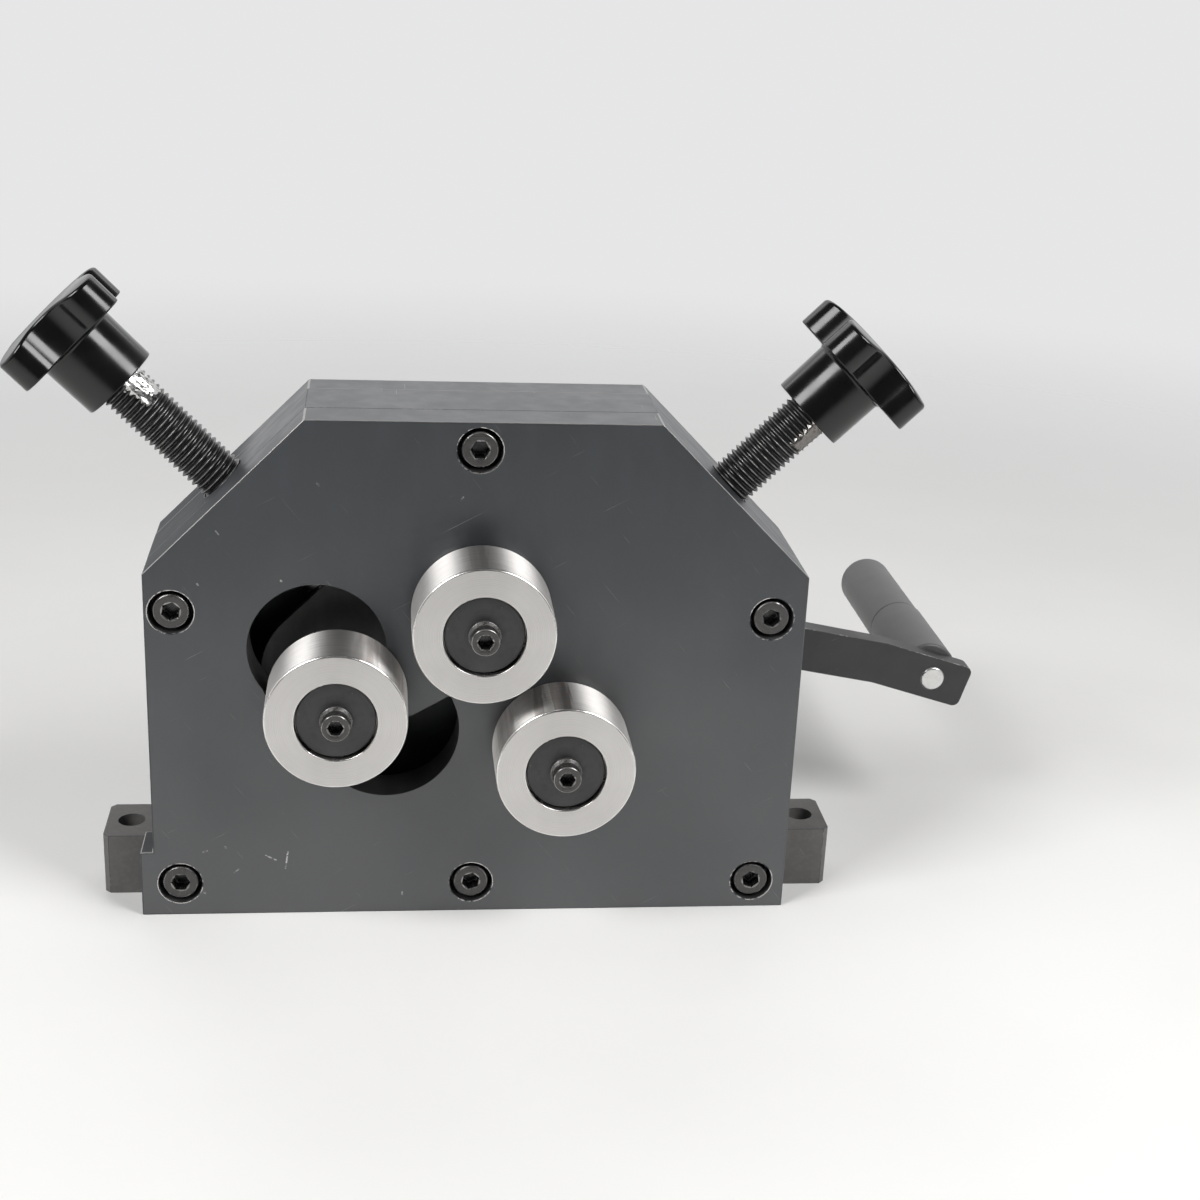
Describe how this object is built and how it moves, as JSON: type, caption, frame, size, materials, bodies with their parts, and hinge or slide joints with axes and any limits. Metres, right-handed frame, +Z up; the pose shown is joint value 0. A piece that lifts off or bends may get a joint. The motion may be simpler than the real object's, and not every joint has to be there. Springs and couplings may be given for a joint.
{
  "type": "angle roll bender",
  "caption": "Bench-top roll bender: a dark plate body with bright rollers on its face, a swinging roller set by opposed star-knob screws, and a hand crank behind.",
  "frame": {"origin": "midway between the two bench holes, on the surface the bender stands on", "axes": "+X to the right seen from the roller side, +Y from the roller side to the crank side, +Z up"},
  "size_m": [0.3745, 0.2264, 0.2345],
  "materials": {
    "body_black": "chemically blackened steel, satin, worn bright along the edges",
    "rocker_black": "blackened steel, oily",
    "screw_black": "black oxide",
    "washer_black": "black oxide, turned",
    "roller_steel": "turned bright steel",
    "knob_black": "glossy black moulding",
    "grip_black": "satin black moulding",
    "crank_black": "black paint",
    "bush_bronze": "plain bronze",
    "pin_steel": "bright steel",
    "shaft_steel": "machined steel"
  },
  "bodies": {
    "frame": {"front_plate": "body_black", "rear_plate": "body_black", "base_bar": "body_black", "top_block": "body_black", "left_block": "body_black", "right_block": "body_black", "front_screws": "screw_black", "rear_screws": "screw_black", "drive_front_bush": "bush_bronze", "drive_rear_bush": "bush_bronze", "right_front_bush": "bush_bronze", "right_rear_bush": "bush_bronze"},
    "drive": {"drive_shaft": "shaft_steel", "top_roller": "roller_steel", "top_roller_key": "shaft_steel", "top_roller_washer": "washer_black", "top_roller_screw": "screw_black", "drive_gear": "shaft_steel", "drive_gear_key": "shaft_steel", "crank_arm": "crank_black", "crank_washer": "pin_steel", "crank_bolt": "screw_black", "handle_pin": "pin_steel", "pin_washer": "pin_steel"},
    "grip": {"grip_sleeve": "grip_black", "grip_cap": "grip_black"},
    "right_spindle": {"right_shaft": "shaft_steel", "right_roller": "roller_steel", "right_roller_key": "shaft_steel", "right_roller_washer": "washer_black", "right_roller_screw": "screw_black", "driven_gear": "shaft_steel", "driven_gear_key": "shaft_steel"},
    "rocker": {"rocker_arm": "rocker_black", "rocker_bush": "bush_bronze", "left_front_bush": "bush_bronze", "left_rear_bush": "bush_bronze"},
    "left_spindle": {"left_shaft": "shaft_steel", "left_roller": "roller_steel", "left_roller_key": "shaft_steel", "left_roller_washer": "washer_black", "left_roller_screw": "screw_black", "left_circlip": "shaft_steel"},
    "left_pusher": {"left_foot": "shaft_steel"},
    "left_screw": {"left_adjuster": "screw_black", "left_knob": "knob_black"},
    "right_pusher": {"right_foot": "shaft_steel"},
    "right_screw": {"right_adjuster": "screw_black", "right_knob": "knob_black"}
  },
  "joints": [
    {"name": "crank_turn", "type": "hinge", "parent": "frame", "child": "drive", "pos_m": [0, 0, 0.121], "axis": [0, 1, 0], "continuous": true},
    {"name": "right_spin", "type": "hinge", "parent": "frame", "child": "right_spindle", "pos_m": [0.03, 0, 0.06904], "axis": [0, 1, 0], "continuous": true},
    {"name": "grip_spin", "type": "hinge", "parent": "drive", "child": "grip", "pos_m": [0.19156, 0, 0.06353], "axis": [0, 1, 0], "continuous": true},
    {"name": "rocker_swing", "type": "hinge", "parent": "frame", "child": "rocker", "pos_m": [0, 0, 0.121], "axis": [0, -1, 0], "range_deg": [-17, 21]},
    {"name": "left_spin", "type": "hinge", "parent": "rocker", "child": "left_spindle", "pos_m": [-0.05088, 0, 0.08921], "axis": [0, 1, 0], "continuous": true},
    {"name": "left_screw_travel", "type": "slide", "parent": "frame", "child": "left_pusher", "axis": [0.7071, 0, -0.7071], "range_m": [-0.0112, 0.0138]},
    {"name": "left_screw_turn", "type": "hinge", "parent": "left_pusher", "child": "left_screw", "pos_m": [-0.02659, 0, 0.09441], "axis": [0.7071, 0, -0.7071], "range_deg": [-1780, 2200]},
    {"name": "right_screw_travel", "type": "slide", "parent": "frame", "child": "right_pusher", "axis": [-0.7071, 0, -0.7071], "range_m": [-0.0138, 0.0112]},
    {"name": "right_screw_turn", "type": "hinge", "parent": "right_pusher", "child": "right_screw", "pos_m": [0.02659, 0, 0.09441], "axis": [-0.7071, 0, -0.7071], "range_deg": [-2200, 1780]}
  ],
  "couplings": [
    {"joint": "right_spin", "follows": "crank_turn", "ratio": -1},
    {"joint": "left_screw_travel", "follows": "left_screw_turn", "m_per_rad": 0.0003581},
    {"joint": "rocker_swing", "follows": "left_screw_turn", "ratio": 0.0095239},
    {"joint": "right_screw_travel", "follows": "left_screw_turn", "m_per_rad": -0.0003581},
    {"joint": "right_screw_turn", "follows": "left_screw_turn", "ratio": -1}
  ]
}
